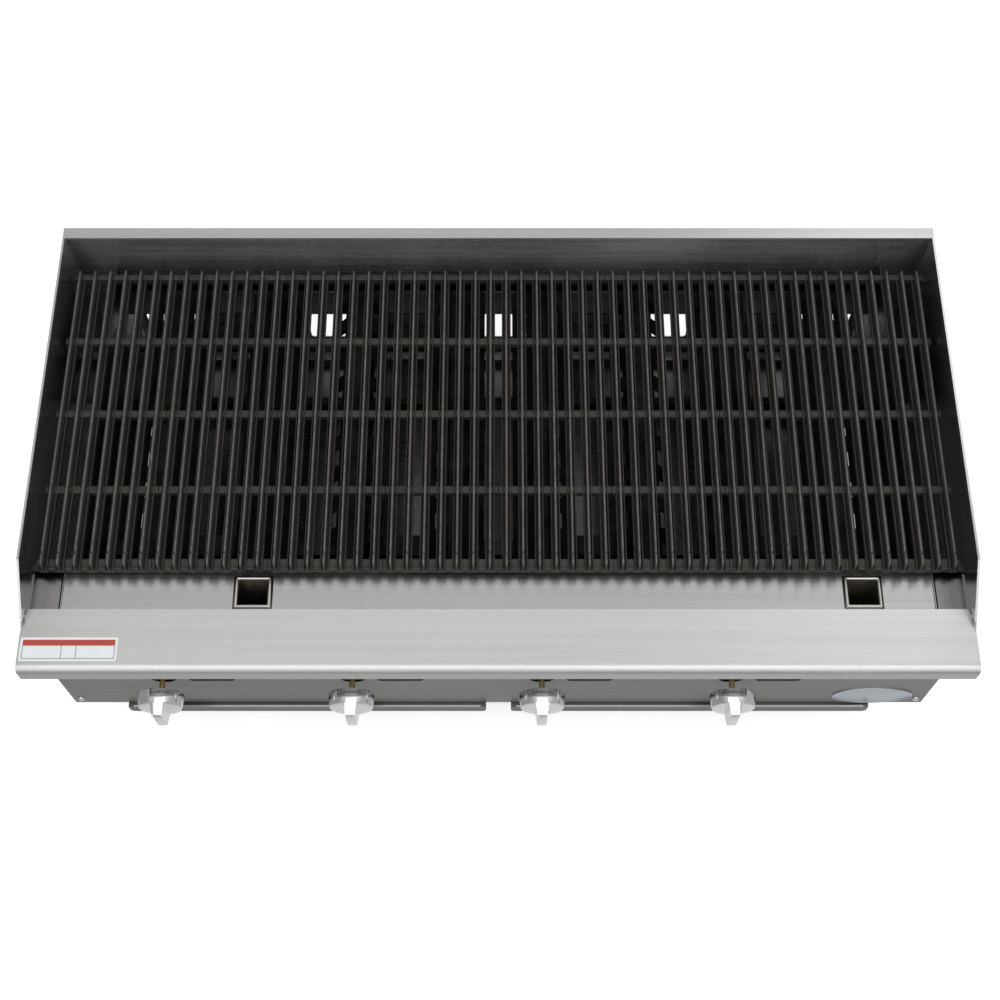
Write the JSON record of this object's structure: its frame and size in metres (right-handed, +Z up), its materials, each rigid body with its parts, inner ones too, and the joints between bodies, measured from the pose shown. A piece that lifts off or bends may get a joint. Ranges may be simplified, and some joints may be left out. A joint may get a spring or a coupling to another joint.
{
  "type": "countertop gas charbroiler",
  "caption": "Wide countertop gas radiant charbroiler with lift-off cast-iron grates, front ledge and grease trough, chrome burner knobs and pull-out drip trays.",
  "frame": {"origin": "on the worktop, under the middle of the machine's box", "axes": "+X to the cook's right, +Y away from the cook to the rear panel, +Z up"},
  "size_m": [1.219, 0.6766, 0.445],
  "materials": {
    "stainless": "brushed along the length",
    "rear_sheet": "plain mill finish",
    "badge": "satin, blank",
    "grate_iron": "black, dry, fine sand texture",
    "burner_iron": "as cast",
    "radiant_iron": "as cast",
    "aluminised_sheet": "aluminised, dull",
    "galvanised": "galvanised, faint spangle",
    "knob_chrome": "polished die casting",
    "screw_steel": "plain steel",
    "brass": "machined",
    "shutter_steel": "zinc plated",
    "pipe_black": "black pipe",
    "pilot_tube": "drawn tube",
    "leg_steel": "satin",
    "foot_black": "matt"
  },
  "bodies": {
    "chassis": {"side_panel_left": "stainless", "side_panel_right": "stainless", "back_splash": "stainless", "front_ledge": "stainless", "control_panel": "stainless", "grease_trough": "stainless", "trough_flanges": "stainless", "drain_chutes": "stainless", "rear_panel": "rear_sheet", "badge_plate": "badge", "burner_1": "burner_iron", "burner_2": "burner_iron", "burner_3": "burner_iron", "burner_4": "burner_iron", "radiant_pair_1": "radiant_iron", "radiant_pair_2": "radiant_iron", "radiant_pair_3": "radiant_iron", "radiant_pair_4": "radiant_iron", "firebox_liner_left": "aluminised_sheet", "firebox_liner_right": "aluminised_sheet", "heat_baffle": "aluminised_sheet", "base_rail_front": "galvanised", "base_rail_rear": "galvanised", "tray_runners": "galvanised", "burner_supports": "galvanised", "radiant_rails": "galvanised", "grate_rail_front": "galvanised", "grate_rail_rear": "galvanised", "panel_screws": "screw_steel", "burner_valves": "brass", "pilot_valves": "brass", "gas_manifold": "pipe_black", "pilot_burners": "pilot_tube", "leg_sockets": "leg_steel"},
    "grate_1": {"grate_1": "grate_iron"},
    "grate_2": {"grate_2": "grate_iron"},
    "grate_3": {"grate_3": "grate_iron"},
    "grate_4": {"grate_4": "grate_iron"},
    "grate_5": {"grate_5": "grate_iron"},
    "grate_6": {"grate_6": "grate_iron"},
    "grate_7": {"grate_7": "grate_iron"},
    "grate_8": {"grate_8": "grate_iron"},
    "knob_1": {"knob_1": "knob_chrome", "valve_stem_1": "brass"},
    "knob_2": {"knob_2": "knob_chrome", "valve_stem_2": "brass"},
    "knob_3": {"knob_3": "knob_chrome", "valve_stem_3": "brass"},
    "knob_4": {"knob_4": "knob_chrome", "valve_stem_4": "brass"},
    "shutter_1": {"air_shutter_1": "shutter_steel"},
    "shutter_2": {"air_shutter_2": "shutter_steel"},
    "shutter_3": {"air_shutter_3": "shutter_steel"},
    "shutter_4": {"air_shutter_4": "shutter_steel"},
    "foot_1": {"foot_1": "foot_black"},
    "foot_2": {"foot_2": "foot_black"},
    "foot_3": {"foot_3": "foot_black"},
    "foot_4": {"foot_4": "foot_black"},
    "tray_left": {"drip_tray_left": "stainless"},
    "tray_right": {"drip_tray_right": "stainless"}
  },
  "joints": [
    {"name": "grate_1_lift", "type": "slide", "parent": "chassis", "child": "grate_1", "axis": [0, 0, 1], "range_m": [0, 0.08]},
    {"name": "grate_2_lift", "type": "slide", "parent": "chassis", "child": "grate_2", "axis": [0, 0, 1], "range_m": [0, 0.08]},
    {"name": "grate_3_lift", "type": "slide", "parent": "chassis", "child": "grate_3", "axis": [0, 0, 1], "range_m": [0, 0.08]},
    {"name": "grate_4_lift", "type": "slide", "parent": "chassis", "child": "grate_4", "axis": [0, 0, 1], "range_m": [0, 0.08]},
    {"name": "grate_5_lift", "type": "slide", "parent": "chassis", "child": "grate_5", "axis": [0, 0, 1], "range_m": [0, 0.08]},
    {"name": "grate_6_lift", "type": "slide", "parent": "chassis", "child": "grate_6", "axis": [0, 0, 1], "range_m": [0, 0.08]},
    {"name": "grate_7_lift", "type": "slide", "parent": "chassis", "child": "grate_7", "axis": [0, 0, 1], "range_m": [0, 0.08]},
    {"name": "grate_8_lift", "type": "slide", "parent": "chassis", "child": "grate_8", "axis": [0, 0, 1], "range_m": [0, 0.08]},
    {"name": "knob_1_turn", "type": "hinge", "parent": "chassis", "child": "knob_1", "pos_m": [-0.463, -0.27875, 0.209], "axis": [0, -1, 0], "range_deg": [0, 90]},
    {"name": "knob_2_turn", "type": "hinge", "parent": "chassis", "child": "knob_2", "pos_m": [-0.2015, -0.27875, 0.209], "axis": [0, -1, 0], "range_deg": [0, 90]},
    {"name": "knob_3_turn", "type": "hinge", "parent": "chassis", "child": "knob_3", "pos_m": [0.06, -0.27875, 0.209], "axis": [0, -1, 0], "range_deg": [0, 90]},
    {"name": "knob_4_turn", "type": "hinge", "parent": "chassis", "child": "knob_4", "pos_m": [0.3215, -0.27875, 0.209], "axis": [0, -1, 0], "range_deg": [0, 90]},
    {"name": "shutter_1_turn", "type": "hinge", "parent": "chassis", "child": "shutter_1", "pos_m": [-0.463, -0.20775, 0.209], "axis": [0, -1, 0], "range_deg": [0, 60]},
    {"name": "shutter_2_turn", "type": "hinge", "parent": "chassis", "child": "shutter_2", "pos_m": [-0.2015, -0.20775, 0.209], "axis": [0, -1, 0], "range_deg": [0, 60]},
    {"name": "shutter_3_turn", "type": "hinge", "parent": "chassis", "child": "shutter_3", "pos_m": [0.06, -0.20775, 0.209], "axis": [0, -1, 0], "range_deg": [0, 60]},
    {"name": "shutter_4_turn", "type": "hinge", "parent": "chassis", "child": "shutter_4", "pos_m": [0.3215, -0.20775, 0.209], "axis": [0, -1, 0], "range_deg": [0, 60]},
    {"name": "tray_left_slide", "type": "slide", "parent": "chassis", "child": "tray_left", "axis": [0, -1, 0], "range_m": [0, 0.45]},
    {"name": "tray_right_slide", "type": "slide", "parent": "chassis", "child": "tray_right", "axis": [0, -1, 0], "range_m": [0, 0.45]},
    {"name": "foot_1_screw", "type": "slide", "parent": "chassis", "child": "foot_1", "axis": [0, 0, -1], "range_m": [0, 0.025]},
    {"name": "foot_2_screw", "type": "slide", "parent": "chassis", "child": "foot_2", "axis": [0, 0, -1], "range_m": [0, 0.025]},
    {"name": "foot_3_screw", "type": "slide", "parent": "chassis", "child": "foot_3", "axis": [0, 0, -1], "range_m": [0, 0.025]},
    {"name": "foot_4_screw", "type": "slide", "parent": "chassis", "child": "foot_4", "axis": [0, 0, -1], "range_m": [0, 0.025]}
  ]
}
